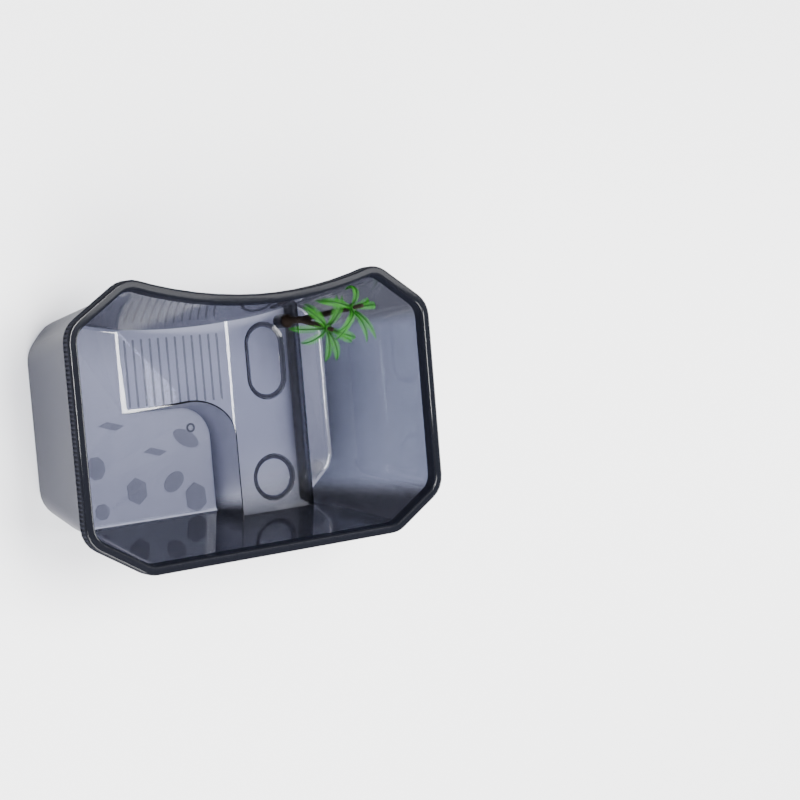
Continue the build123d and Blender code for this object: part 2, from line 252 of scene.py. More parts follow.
def one_material(mesh, material):
    """Gives all the faces of a mesh one material, in its only slot."""
    mesh.materials.clear()
    mesh.materials.append(material)
    mesh.polygons.foreach_set("material_index", [0] * len(mesh.polygons))


def soften(bm, limit):
    """Smooth shading, broken at edges sharper than the limit in degrees."""
    for face in bm.faces:
        face.smooth = True
    for edge in bm.edges:
        edge.smooth = len(edge.link_faces) == 2 and edge.calc_face_angle(0) < math.radians(limit)


def outline_at(node, height):
    """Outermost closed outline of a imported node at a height, as a list of points in order."""
    bm = bmesh.new()
    bm.from_mesh(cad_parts[node].data)
    bmesh.ops.remove_doubles(bm, verts=bm.verts, dist=WELD)
    cut = bmesh.ops.bisect_plane(
        bm, geom=bm.verts[:] + bm.edges[:] + bm.faces[:], plane_co=(0, 0, height), plane_no=(0, 0, 1))
    edges = dict.fromkeys(e for e in cut["geom_cut"] if isinstance(e, bmesh.types.BMEdge))
    best = []
    while edges:
        first = edges.popitem()[0]
        loop = [first.verts[0], first.verts[1]]
        while True:
            step = next((e for e in loop[-1].link_edges if e in edges), None)
            if step is None:
                break
            edges.pop(step)
            loop.append(step.other_vert(loop[-1]))
        points = [v.co.copy() for v in loop]
        reach = max(p.x for p in points)
        if not best or reach > max(p.x for p in best):
            best = points
    bm.free()
    if (best[0] - best[-1]).length < SAME_PLACE:
        best.pop()
    return best


# Node helpers
def add(tree, kind, **settings):
    node = tree.nodes.new(kind)
    for key, value in settings.items():
        setattr(node, key, value)
    return node


def group_socket(group, name, kind, side="INPUT", value=None):
    socket = group.interface.new_socket(name=name, in_out=side, socket_type=kind)
    if value is not None:
        socket.default_value = value
    return socket


def maths(tree, operation, *values):
    """Math node fed with numbers or sockets; gives its output."""
    node = add(tree, "ShaderNodeMath", operation=operation)
    for socket, value in zip(node.inputs, values):
        if isinstance(value, (int, float)):
            socket.default_value = value
        else:
            tree.links.new(value, socket)
    return node.outputs[0]


def product(tree, first, *others):
    for value in others:
        first = maths(tree, "MULTIPLY", first, value)
    return first


def highest(tree, first, *others):
    for value in others:
        first = maths(tree, "MAXIMUM", first, value)
    return first


def rest(tree, share):
    """What a share leaves of 1."""
    return maths(tree, "SUBTRACT", 1.0, share)


def eased(tree, value, start, full):
    """0 at the start mark, 1 at the full one, either way round, with a soft step between them."""
    node = add(tree, "ShaderNodeMapRange", interpolation_type="SMOOTHSTEP")
    node.inputs["From Min"].default_value = start
    node.inputs["From Max"].default_value = full
    tree.links.new(value, node.inputs["Value"])
    return node.outputs["Result"]


def mixed(tree, share, first, second):
    """Mix of two values, each a socket or a number."""
    node = add(tree, "ShaderNodeMix", data_type="FLOAT")
    for key, value in (("Factor", share), ("A", first), ("B", second)):
        if isinstance(value, (int, float)):
            node.inputs[key].default_value = value
        else:
            tree.links.new(value, node.inputs[key])
    return node.outputs["Result"]


def blend(tree, share, first, second):
    """Mix of two colours, each a socket or three numbers."""
    node = add(tree, "ShaderNodeMix", data_type="RGBA")
    tree.links.new(share, node.inputs["Factor"])
    for key, value in (("A", first), ("B", second)):
        if isinstance(value, tuple):
            node.inputs[key].default_value = (*value, 1)
        else:
            tree.links.new(value, node.inputs[key])
    return node.outputs["Result"]


def moulded_skin():
    """Group: faint flow marks and orange peel of moulded plastic, as a tint mask and a height."""
    group = bpy.data.node_groups.new("moulded_skin", "ShaderNodeTree")
    group_socket(group, "Peel Scale", "NodeSocketFloat", value=900.0)
    group_socket(group, "Cloud Scale", "NodeSocketFloat", value=14.0)
    group_socket(group, "Clouds", "NodeSocketFloat", "OUTPUT")
    group_socket(group, "Height", "NodeSocketFloat", "OUTPUT")
    enter = add(group, "NodeGroupInput")
    leave = add(group, "NodeGroupOutput")
    coords = add(group, "ShaderNodeTexCoord")
    clouds = add(group, "ShaderNodeTexNoise")
    clouds.inputs["Detail"].default_value = 3.0
    peel = add(group, "ShaderNodeTexNoise")
    peel.inputs["Detail"].default_value = 2.0
    group.links.new(coords.outputs["Object"], clouds.inputs["Vector"])
    group.links.new(coords.outputs["Object"], peel.inputs["Vector"])
    group.links.new(enter.outputs["Cloud Scale"], clouds.inputs["Scale"])
    group.links.new(enter.outputs["Peel Scale"], peel.inputs["Scale"])
    group.links.new(clouds.outputs["Fac"], leave.inputs["Clouds"])
    group.links.new(peel.outputs["Fac"], leave.inputs["Height"])
    return group


SKIN = moulded_skin()


def skin_node(tree, peel_scale, cloud_scale):
    node = add(tree, "ShaderNodeGroup", node_tree=SKIN)
    node.inputs["Peel Scale"].default_value = peel_scale
    node.inputs["Cloud Scale"].default_value = cloud_scale
    return node


def orange_peel(tree, skin, strength):
    """Normal of a face with the skin's orange peel on it."""
    node = add(tree, "ShaderNodeBump")
    node.inputs["Strength"].default_value = strength
    node.inputs["Distance"].default_value = PEEL_HEIGHT
    tree.links.new(skin.outputs["Height"], node.inputs["Height"])
    return node.outputs["Normal"]


def plastic(name, dark, light, roughness, peel, peel_scale=900.0, cloud_scale=14.0, shine=0.5):
    """Moulded plastic: two close tones in soft clouds, satin gloss and a faint orange peel."""
    material = bpy.data.materials.new(name)
    material.use_nodes = True
    tree = material.node_tree
    shader = tree.nodes["Principled BSDF"]
    shader.inputs["Specular IOR Level"].default_value = shine
    skin = skin_node(tree, peel_scale, cloud_scale)
    clouds = skin.outputs["Clouds"]
    gloss = mixed(tree, clouds, roughness - GLOSS_SPREAD, roughness + GLOSS_SPREAD)
    tree.links.new(blend(tree, clouds, dark, light), shader.inputs["Base Color"])
    tree.links.new(gloss, shader.inputs["Roughness"])
    tree.links.new(orange_peel(tree, skin, peel), shader.inputs["Normal"])
    return material


def darker_ribs(material, colour):
    """Gives the parts of a material's pieces that carry the "rib" attribute a darker colour."""
    tree = material.node_tree
    shader = tree.nodes["Principled BSDF"]
    base = shader.inputs["Base Color"].links[0].from_socket
    rib = add(tree, "ShaderNodeAttribute", attribute_name="rib")
    tree.links.new(blend(tree, rib.outputs["Fac"], base, colour), shader.inputs["Base Color"])


def smoke_masks(tree):
    """Where the faces and features of the tank are, by their place, slope and attributes."""
    coords = add(tree, "ShaderNodeTexCoord").outputs["Object"]
    geometry = add(tree, "ShaderNodeNewGeometry")
    place = add(tree, "ShaderNodeSeparateXYZ")
    slope = add(tree, "ShaderNodeSeparateXYZ")
    outwards = add(tree, "ShaderNodeVectorMath", operation="DOT_PRODUCT")
    from_gate = add(tree, "ShaderNodeVectorMath", operation="DISTANCE")
    from_gate.inputs[1].default_value = GATE
    tree.links.new(coords, place.inputs[0])
    tree.links.new(coords, outwards.inputs[0])
    tree.links.new(coords, from_gate.inputs[0])
    tree.links.new(geometry.outputs["Normal"], slope.inputs[0])
    tree.links.new(geometry.outputs["Normal"], outwards.inputs[1])
    x, y, z = place.outputs

    # Floors, walls and rim
    level = eased(tree, maths(tree, "ABSOLUTE", slope.outputs["Z"]), *LEVEL_FACE)
    steep = rest(tree, level)
    front = eased(tree, y, *FRONT_WALL)
    back = eased(tree, y, *BACK_WALL)
    right = eased(tree, x, *RIGHT_END)
    right_end = product(tree, right, rest(tree, highest(tree, front, back, level)))
    outside = product(tree, eased(tree, outwards.outputs["Value"], *OUTER_FACE), steep)
    long_wall = product(tree, highest(tree, front, back), steep)

    # Painted shade on the platform's top by its edge over the deep pool and by the front wall, and on
    # its side
    raised = product(tree, level, eased(tree, z, *PLATFORM_RISE))
    platform_edge = product(tree, raised, eased(tree, x, *PLATFORM_EDGE))
    platform_front = product(tree, raised, eased(tree, y, *PLATFORM_FRONT))
    platform_side = product(
        tree, eased(tree, x, *PLATFORM_SIDE), eased(tree, x, *PLATFORM_SIDE_END),
        eased(tree, z, *PLATFORM_SIDE_FOOT), eased(tree, z, *PLATFORM_SIDE_TOP))

    # Pebble tops, and the lines of painted shade round pebbles, down grooves, round the dishes and
    # the gate mark, darker down the dishes' sides
    matte = add(tree, "ShaderNodeAttribute", attribute_name="matte").outputs["Fac"]
    marked = add(tree, "ShaderNodeAttribute", attribute_name="line").outputs["Fac"]
    down_dish = eased(tree, z, DISH_TOP, DISH_FLOOR)
    from_ring = maths(tree, "SUBTRACT", from_gate.outputs["Value"], GATE_RING)
    ring = eased(tree, maths(tree, "ABSOLUTE", from_ring), *GATE_RING_EDGE)
    line = highest(tree, product(tree, marked, down_dish), product(tree, ring, GATE_LINE))
    dish_side = product(tree, eased(tree, marked, *DISH_MARK), down_dish)
    return SimpleNamespace(
        level=level, front=front, back=back, right=right, right_end=right_end, outside=outside,
        long_wall=long_wall, rim=eased(tree, z, *RIM_START), platform_edge=platform_edge,
        platform_front=platform_front, platform_side=platform_side, matte=matte, line=line,
        dish_side=dish_side, seen_from_within=geometry.outputs["Backfacing"])


def smoke_tone_and_painted_shade(tree, at, clouds):
    """Share of colour that a face keeps, least on the front wall and rim, most on the floors; the
    walls' shares and the shaded features are painted shade, the rim's dark is its own.
    """
    wall = mixed(tree, at.right, LEFT_END_PAINTED_SHADE, RIGHT_END_PAINTED_SHADE)
    wall = mixed(tree, at.back, wall, BACK_PAINTED_SHADE)
    wall = mixed(tree, at.front, wall, FRONT_PAINTED_SHADE)
    tone = mixed(tree, at.level, wall, mixed(tree, at.right, FLOOR_TONE, DEEP_FLOOR_PAINTED_SHADE))
    shades = (
        (at.platform_edge, PLATFORM_EDGE_SHADE), (at.platform_front, PLATFORM_FRONT_SHADE),
        (at.platform_side, PLATFORM_SIDE_SHADE), (at.matte, PEBBLE_SHADE), (at.line, LINE_SHADE))
    for mask, shade in shades:
        tone = product(tree, tone, mixed(tree, mask, 1.0, shade))
    tone = mixed(tree, at.rim, tone, RIM_TONE)
    return product(tree, tone, mixed(tree, clouds, CLOUDED_TONE, 1.0))


def smoke_haze(tree, at):
    """Share that the satin layer hides: outer faces, rim, long walls and the dishes' sides; on the
    long walls and the dishes' sides its dark colour is painted shade.
    """
    share = highest(
        tree,
        product(tree, at.outside, WALL_HAZE),
        product(tree, at.rim, mixed(tree, at.level, SKIRT_HAZE, FLANGE_HAZE)),
        product(tree, at.long_wall, LONG_WALL_HAZE),
        product(tree, at.dish_side, DISH_SIDE_HAZE))
    return product(tree, share, rest(tree, at.seen_from_within))


def mixed_shader(tree, share, first, second):
    node = add(tree, "ShaderNodeMixShader")
    tree.links.new(share, node.inputs[0])
    tree.links.new(first, node.inputs[1])
    tree.links.new(second, node.inputs[2])
    return node.outputs[0]


def smoke_plastic():
    """Clear smoke plastic: light sinks in its thickness, and passes through to what stands behind."""
    material = bpy.data.materials.new("smoke_plastic")
    material.use_nodes = True
    tree = material.node_tree
    shader = tree.nodes["Principled BSDF"]
    out = tree.nodes["Material Output"]
    skin = skin_node(tree, SMOKE_PEEL_SCALE, SMOKE_CLOUD_SCALE)
    clouds = skin.outputs["Clouds"]
    peel = orange_peel(tree, skin, SMOKE_PEEL)
    at = smoke_masks(tree)

    # Clear body
    shader.inputs["Transmission Weight"].default_value = 1.0
    shader.inputs["IOR"].default_value = SMOKE_IOR
    # Base colour: tones that carry painted shade, and the right end's tint as painted light
    tint = blend(tree, at.right_end, FLOOR_TINT, END_PAINTED_TINT)
    tone = smoke_tone_and_painted_shade(tree, at, clouds)
    tree.links.new(blend(tree, tone, (0, 0, 0), tint), shader.inputs["Base Color"])
    gloss = maths(tree, "MULTIPLY_ADD", clouds, *SMOKE_ROUGHNESS)
    gloss = maths(tree, "MULTIPLY_ADD", at.matte, MATTE_ROUGHNESS, gloss)
    tree.links.new(gloss, shader.inputs["Roughness"])
    tree.links.new(peel, shader.inputs["Normal"])
    depth = add(tree, "ShaderNodeVolumeAbsorption")
    depth.inputs["Color"].default_value = (*SMOKE_DEPTH_COLOUR, 1)
    depth.inputs["Density"].default_value = SMOKE_DENSITY
    tree.links.new(depth.outputs[0], out.inputs["Volume"])

    # Satin layer, without the mirror of a gloss
    satin = add(tree, "ShaderNodeBsdfPrincipled")
    satin.inputs["Specular IOR Level"].default_value = 0.0
    satin_colour = blend(tree, at.rim, WALL_HAZE_COLOUR, RIM_HAZE_COLOUR)
    satin_gloss = maths(tree, "MULTIPLY_ADD", clouds, *HAZE_ROUGHNESS)
    tree.links.new(satin_colour, satin.inputs["Base Color"])
    tree.links.new(satin_gloss, satin.inputs["Roughness"])
    tree.links.new(peel, satin.inputs["Normal"])

    # Light on its way to the table goes straight through, thinned a little at each face
    path = add(tree, "ShaderNodeLightPath")
    straight = highest(tree, path.outputs["Is Shadow Ray"], path.outputs["Is Diffuse Ray"])
    clear = add(tree, "ShaderNodeBsdfTransparent")
    clear.inputs["Color"].default_value = (*SMOKE_SHADOW, 1)
    seen = mixed_shader(tree, smoke_haze(tree, at), shader.outputs[0], satin.outputs[0])
    surface = mixed_shader(tree, straight, seen, clear.outputs[0])
    tree.links.new(surface, out.inputs["Surface"])
    return material


SMOKE = smoke_plastic()
RIM_SMOKE = plastic(
    "rim_smoke", dark=(0.018, 0.019, 0.026), light=(0.026, 0.027, 0.036),
    roughness=0.4, peel=0.05, shine=0.0)
BARK = plastic(
    "palm_bark", dark=(0.003, 0.002, 0.0015), light=(0.014, 0.008, 0.005),
    roughness=0.6, peel=0.6, peel_scale=1400.0, cloud_scale=900.0, shine=0.12)
LEAF = plastic(
    "palm_leaf", dark=(0.008, 0.095, 0.003), light=(0.02, 0.17, 0.006),
    roughness=0.45, peel=0.15, peel_scale=1800.0, cloud_scale=160.0, shine=0.2)
PAPER = plastic(
    "white_table", dark=(0.87, 0.87, 0.87), light=(0.89, 0.89, 0.89),
    roughness=0.6, peel=0.02, peel_scale=300.0, cloud_scale=2.0)
darker_ribs(LEAF, (0.002, 0.028, 0.001))


def set_inputs(modifier, values):
    """Sets a Geometry Nodes modifier's inputs by the identifiers of their sockets."""
    for item in modifier.node_group.interface.items_tree:
        if item.item_type == "SOCKET" and item.in_out == "INPUT" and item.name in values:
            modifier[item.identifier] = values[item.name]


def grown(name, mesh, group, values):
    """Plain mesh of what a Geometry Nodes group makes from a seed mesh."""
    seed = link(bpy.data.objects.new(name, mesh))
    modifier = seed.modifiers.new("grow", "NODES")
    modifier.node_group = group
    set_inputs(modifier, values)
    depsgraph = bpy.context.evaluated_depsgraph_get()
    depsgraph.update()
    result = bpy.data.meshes.new_from_object(seed.evaluated_get(depsgraph), depsgraph=depsgraph)
    bpy.data.objects.remove(seed)
    result.name = name
    return result


def attribute(tree, name, kind="FLOAT_VECTOR"):
    """Output of a named attribute of the seed mesh."""
    node = add(tree, "GeometryNodeInputNamedAttribute", data_type=kind)
    node.inputs["Name"].default_value = name
    return node.outputs["Attribute"]


def vectors(tree, operation, first, second=None, scale=None):
    """Vector Math node fed with sockets, and a scale that may be a number; gives its output."""
    node = add(tree, "ShaderNodeVectorMath", operation=operation)
    tree.links.new(first, node.inputs[0])
    if second is not None:
        tree.links.new(second, node.inputs[1])
    if scale is not None:
        if isinstance(scale, (int, float)):
            node.inputs["Scale"].default_value = scale
        else:
            tree.links.new(scale, node.inputs["Scale"])
    return node.outputs[0]


def frond_group():
    """Geometry Nodes: a tapering midrib on each spine, with leaflets on both sides of it."""
    group = bpy.data.node_groups.new("fronds", "GeometryNodeTree")
    group_socket(group, "Geometry", "NodeSocketGeometry")
    group_socket(group, "Leaflet Length", "NodeSocketFloat", value=LEAFLET_LENGTH)
    group_socket(group, "Leaflet Width", "NodeSocketFloat", value=LEAFLET_WIDTH)
    group_socket(group, "Leaflet Thickness", "NodeSocketFloat", value=LEAFLET_THICKNESS)
    group_socket(group, "Midrib Radius", "NodeSocketFloat", value=MIDRIB_RADIUS)
    group_socket(group, "Seed", "NodeSocketInt", value=3)
    group_socket(group, "Material", "NodeSocketMaterial")
    group_socket(group, "Geometry", "NodeSocketGeometry", "OUTPUT")
    links = group.links
    enter = add(group, "NodeGroupInput")
    leave = add(group, "NodeGroupOutput")
    join = add(group, "GeometryNodeJoinGeometry")
    along = attribute(group, "along", "FLOAT")
    ahead = attribute(group, "ahead")
    side = attribute(group, "side")
    up = vectors(group, "CROSS_PRODUCT", ahead, side)

    # Longest in the middle of the frond, shorter at both ends
    swell = maths(group, "SINE", maths(group, "MULTIPLY_ADD", along, *LEAFLET_SWELL))
    length = maths(group, "MULTIPLY", swell, enter.outputs["Leaflet Length"])

    # A leaflet is a flattened cone, one unit wide and long, scaled at each point
    blade = add(group, "GeometryNodeMeshCone")
    blade.inputs["Vertices"].default_value = LEAFLET_SIDES
    blade.inputs["Radius Top"].default_value = 0.5 * LEAFLET_TIP
    blade.inputs["Radius Bottom"].default_value = 0.5
    blade.inputs["Depth"].default_value = 1.0
    size = add(group, "ShaderNodeCombineXYZ")
    links.new(enter.outputs["Leaflet Width"], size.inputs["X"])
    links.new(enter.outputs["Leaflet Thickness"], size.inputs["Y"])
    links.new(length, size.inputs["Z"])
    for turn, seed_step in ((1.0, 0), (-1.0, OTHER_SIDE_SEED)):
        wobble = add(group, "FunctionNodeRandomValue", data_type="FLOAT")
        wobble.inputs["Min"].default_value = LEAFLET_SWEEP[0]
        wobble.inputs["Max"].default_value = LEAFLET_SWEEP[1]
        links.new(maths(group, "ADD", enter.outputs["Seed"], seed_step), wobble.inputs["Seed"])
        sweep = vectors(group, "SCALE", ahead, scale=wobble.outputs["Value"])
        lift = vectors(group, "SCALE", up, scale=LEAFLET_LIFT)
        out = vectors(group, "SCALE", side, scale=turn)
        aim = vectors(group, "ADD", vectors(group, "ADD", out, sweep), lift)
        pose = add(group, "FunctionNodeAxesToRotation", primary_axis="Z", secondary_axis="X")
        links.new(aim, pose.inputs["Primary Axis"])
        links.new(ahead, pose.inputs["Secondary Axis"])
        place = add(group, "GeometryNodeInstanceOnPoints")
        links.new(enter.outputs["Geometry"], place.inputs["Points"])
        links.new(blade.outputs["Mesh"], place.inputs["Instance"])
        links.new(pose.outputs["Rotation"], place.inputs["Rotation"])
        links.new(size.outputs["Vector"], place.inputs["Scale"])
        links.new(place.outputs["Instances"], join.inputs["Geometry"])

    # The midrib carries the mark that darkens it
    spine = add(group, "GeometryNodeMeshToCurve")
    links.new(enter.outputs["Geometry"], spine.inputs["Mesh"])
    taper = maths(group, "MULTIPLY_ADD", along, MIDRIB_TAPER, 1.0)
    ring = add(group, "GeometryNodeCurvePrimitiveCircle")
    ring.inputs["Resolution"].default_value = MIDRIB_SIDES
    links.new(enter.outputs["Midrib Radius"], ring.inputs["Radius"])
    rod = add(group, "GeometryNodeCurveToMesh")
    rod.inputs["Fill Caps"].default_value = True
    links.new(spine.outputs["Curve"], rod.inputs["Curve"])
    links.new(taper, rod.inputs["Scale"])
    links.new(ring.outputs["Curve"], rod.inputs["Profile Curve"])
    mark = add(group, "GeometryNodeStoreNamedAttribute", data_type="FLOAT", domain="POINT")
    mark.inputs["Name"].default_value = "rib"
    mark.inputs["Value"].default_value = 1.0
    links.new(rod.outputs["Mesh"], mark.inputs["Geometry"])
    links.new(mark.outputs["Geometry"], join.inputs["Geometry"])

    solid = add(group, "GeometryNodeRealizeInstances")
    paint = add(group, "GeometryNodeSetMaterial")
    links.new(join.outputs["Geometry"], solid.inputs["Geometry"])
    links.new(solid.outputs["Geometry"], paint.inputs["Geometry"])
    links.new(enter.outputs["Material"], paint.inputs["Material"])
    links.new(paint.outputs["Geometry"], leave.inputs["Geometry"])
    return group


def frond_spine(bm, layers, place, turn, reach, drop):
    """Adds one frond's spine to a seed mesh, with its direction and sides at each point."""
    along_layer, ahead_layer, side_layer = layers
    start = HUB_RADIUS - FROND_OVERLAP
    reach -= start
    drop += ROOT_HEIGHT
    chord = math.hypot(reach, drop)
    slope = -math.atan2(drop, reach)
    # A frond is an arc of its own length over this chord: sin(t) / t is about 1 - t * t / 6
    half_turn = math.sqrt(6 * (1 - chord / FROND_LENGTH))
    radius = chord / (2 * math.sin(half_turn))
    twist = Matrix.Rotation(math.radians(turn), 3, "Z")
    turned = place.to_3x3()
    last = None
    for index in range(LEAFLET_PAIRS):
        share = index / (LEAFLET_PAIRS - 1)
        heading = slope + half_turn * (1 - 2 * share)
        x = start + radius * (math.sin(slope + half_turn) - math.sin(heading))
        z = ROOT_HEIGHT + radius * (math.cos(heading) - math.cos(slope + half_turn))
        vert = bm.verts.new(place @ (twist @ Vector((x, 0, z))))
        vert[along_layer] = share
        vert[ahead_layer] = turned @ (twist @ Vector((math.cos(heading), 0, math.sin(heading))))
        vert[side_layer] = turned @ (twist @ Vector((0, 1, 0)))
        if last:
            bm.edges.new((last, vert))
        last = vert


def trunk_place(crown, storey):
    """Place of a leaf star: its hub's underside on the trunk, tilted with the trunk."""
    z_axis = (crown - FORK).normalized()
    x_axis = (Vector((1, 0, 0)) - z_axis * z_axis.x).normalized()
    y_axis = z_axis.cross(x_axis)
    turn = Matrix((x_axis, y_axis, z_axis)).transposed().to_4x4()
    return Matrix.Translation(crown + z_axis * HUB_HEIGHT * storey) @ turn


def leaf_star(node, crown, storey, group, seed):
    """One star of fronds round its hub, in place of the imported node."""
    place = trunk_place(crown, storey)
    bm = bmesh.new()
    layers = (
        bm.verts.layers.float.new("along"),
        bm.verts.layers.float_vector.new("ahead"),
        bm.verts.layers.float_vector.new("side"))
    for turn, reach, drop in FRONDS[node]:
        frond_spine(bm, layers, place, turn, reach * MM, drop * MM)
    mesh = bpy.data.meshes.new(node + "_spines")
    bm.to_mesh(mesh)
    bm.free()
    mesh = grown(node + "_fronds", mesh, group, {"Material": LEAF, "Seed": seed})
    bm = bmesh.new()
    bm.from_mesh(mesh)
    hub = bmesh.ops.create_cone(
        bm, cap_ends=True, segments=HUB_SIDES, radius1=HUB_RADIUS, radius2=HUB_RADIUS * HUB_TAPER,
        depth=HUB_HEIGHT, matrix=place @ Matrix.Translation((0, 0, HUB_HEIGHT / 2)))
    rib = bm.verts.layers.float["rib"]
    for vert in hub["verts"]:
        vert[rib] = HUB_RIB
    soften(bm, LEAF_SHADING_ANGLE)
    bm.to_mesh(mesh)
    bm.free()
    one_material(mesh, LEAF)
    piece = new_piece(node + "_fronds", mesh, "palm")
    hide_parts(node)
    return piece


def rib_group():
    """Geometry Nodes: upright ribs set evenly along a closed outline."""
    group = bpy.data.node_groups.new("skirt_ribs", "GeometryNodeTree")
    group_socket(group, "Geometry", "NodeSocketGeometry")
    group_socket(group, "Pitch", "NodeSocketFloat", value=RIB_PITCH)
    group_socket(group, "Width", "NodeSocketFloat", value=RIB_WIDTH)
    group_socket(group, "Depth", "NodeSocketFloat", value=RIB_DEPTH)
    group_socket(group, "Height", "NodeSocketFloat", value=RIB_HIGH - RIB_LOW)
    group_socket(group, "Material", "NodeSocketMaterial")
    group_socket(group, "Geometry", "NodeSocketGeometry", "OUTPUT")
    links = group.links
    enter = add(group, "NodeGroupInput")
    leave = add(group, "NodeGroupOutput")
    line = add(group, "GeometryNodeMeshToCurve")
    links.new(enter.outputs["Geometry"], line.inputs["Mesh"])
    spots = add(group, "GeometryNodeCurveToPoints", mode="LENGTH")
    links.new(line.outputs["Curve"], spots.inputs["Curve"])
    links.new(enter.outputs["Pitch"], spots.inputs["Length"])

    # A rib is a rod, one unit wide and high, scaled and stood up at each point
    rod = add(group, "GeometryNodeMeshCylinder")
    rod.inputs["Vertices"].default_value = RIB_SIDES
    rod.inputs["Radius"].default_value = 0.5
    rod.inputs["Depth"].default_value = 1.0
    size = add(group, "ShaderNodeCombineXYZ")
    links.new(enter.outputs["Width"], size.inputs["X"])
    links.new(maths(group, "MULTIPLY", enter.outputs["Depth"], 2.0), size.inputs["Y"])
    links.new(enter.outputs["Height"], size.inputs["Z"])
    upright = add(group, "ShaderNodeCombineXYZ")
    upright.inputs["Z"].default_value = 1.0
    pose = add(group, "FunctionNodeAxesToRotation", primary_axis="Z", secondary_axis="X")
    links.new(upright.outputs["Vector"], pose.inputs["Primary Axis"])
    links.new(spots.outputs["Tangent"], pose.inputs["Secondary Axis"])
    place = add(group, "GeometryNodeInstanceOnPoints")
    links.new(spots.outputs["Points"], place.inputs["Points"])
    links.new(rod.outputs["Mesh"], place.inputs["Instance"])
    links.new(pose.outputs["Rotation"], place.inputs["Rotation"])
    links.new(size.outputs["Vector"], place.inputs["Scale"])
    solid = add(group, "GeometryNodeRealizeInstances")
    paint = add(group, "GeometryNodeSetMaterial")
    links.new(place.outputs["Instances"], solid.inputs["Geometry"])
    links.new(solid.outputs["Geometry"], paint.inputs["Geometry"])
    links.new(enter.outputs["Material"], paint.inputs["Material"])
    links.new(paint.outputs["Geometry"], leave.inputs["Geometry"])
    return group


def skirt_ribs():
    """Ribs on the skirt of the rim, standing out to the edge of the rim."""
    middle = (RIB_LOW + RIB_HIGH) / 2
    points = outline_at("tank", middle)
    bm = bmesh.new()
    verts = [bm.verts.new(p) for p in points]
    for index, vert in enumerate(verts):
        bm.edges.new((vert, verts[index - 1]))
    mesh = bpy.data.meshes.new("skirt_line")
    bm.to_mesh(mesh)
    bm.free()
    mesh = grown("skirt_ribs", mesh, rib_group(), {"Material": RIM_SMOKE})
    one_material(mesh, RIM_SMOKE)
    for polygon in mesh.polygons:
        polygon.use_smooth = abs(polygon.normal.z) < LEVEL_NORMAL
    return new_piece("skirt_ribs", mesh, "tank")


def ramp_depth(point):
    """How far a point lies below the ramp's plane."""
    ramp = (RAMP_TOP - RAMP_FOOT).normalized()
    return -(point - RAMP_FOOT).cross(ramp).y


def painted_line_share(face):
    """How dark a line of painted shade a face of the tank gets: down a groove or round a dish."""
    middle = face.calc_center_median()
    if GROOVE_NEAR < middle.y < GROOVE_FAR and RAMP_FOOT.x < middle.x < GROOVE_TOP:
        return GROOVE_LINE if GROOVE_DEPTH[0] < ramp_depth(middle) < GROOVE_DEPTH[1] else 0.0
    if DISH_BASE < middle.z < DISH_TOP and DISH_SLOPE[0] < abs(face.normal.z) < DISH_SLOPE[1]:
        return DISH_LINE if DISH_SPAN[0] < middle.x < DISH_SPAN[1] else 0.0
    return 0.0


def pebble_top(face):
    """Whether a face is the flat top of a pebble shape on the pool's floor."""
    return face.normal.z > LEVEL_NORMAL and abs(face.calc_center_median().z - PEBBLE_TOP) < CLOSE


def pebble_side(face):
    """Whether a face is the low side round a pebble shape."""
    height = face.calc_center_median().z
    return PEBBLE_TOP - PEBBLE_RISE < height < PEBBLE_TOP and abs(face.normal.z) < UPRIGHT_NORMAL


def tank_moulding():
    """The tub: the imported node's own shape, joined up, with its edges softened."""
    bm = bmesh.new()
    bm.from_mesh(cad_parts["tank"].data)
    bmesh.ops.remove_doubles(bm, verts=bm.verts, dist=WELD)
    bmesh.ops.dissolve_limit(
        bm, angle_limit=math.radians(FLAT_ANGLE), verts=bm.verts, edges=bm.edges, delimit=set())
    matte = bm.faces.layers.float.new("matte")
    line = bm.faces.layers.float.new("line")
    # Painted shade: dark lines on grooves, dish sides, pebble sides and rings round the pebble tops
    for face in bm.faces:
        face[line] = painted_line_share(face)
    tops = [f for f in bm.faces if pebble_top(f)]
    alone = [f for f in tops if min((v.co - GATE).length for v in f.verts) > GATE_RADIUS + 2 * CLOSE]
    inset = bmesh.ops.inset_individual(bm, faces=alone, thickness=PEBBLE_OUTLINE, depth=0)
    for face in inset["faces"]:
        face[line] = PEBBLE_LINE
    for face in tops:
        face[matte] = 1.0
        face[line] = 0.0
    for face in bm.faces:
        if pebble_side(face):
            face[line] = PEBBLE_LINE
    soften(bm, SHADING_ANGLE)
    mesh = bpy.data.meshes.new("tank_moulding")
    bm.to_mesh(mesh)
    bm.free()
    one_material(mesh, SMOKE)
    piece = new_piece("tank_moulding", mesh, "tank")
    bevel = piece.modifiers.new("soft_edges", "BEVEL")
    bevel.width = EDGE_SOFTENING
    bevel.segments = 2
    bevel.limit_method = "ANGLE"
    bevel.angle_limit = math.radians(SOFTENED_ANGLE)
    bevel.harden_normals = False
    even = piece.modifiers.new("even_shading", "WEIGHTED_NORMAL")
    even.keep_sharp = True
    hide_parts("tank")
    return piece


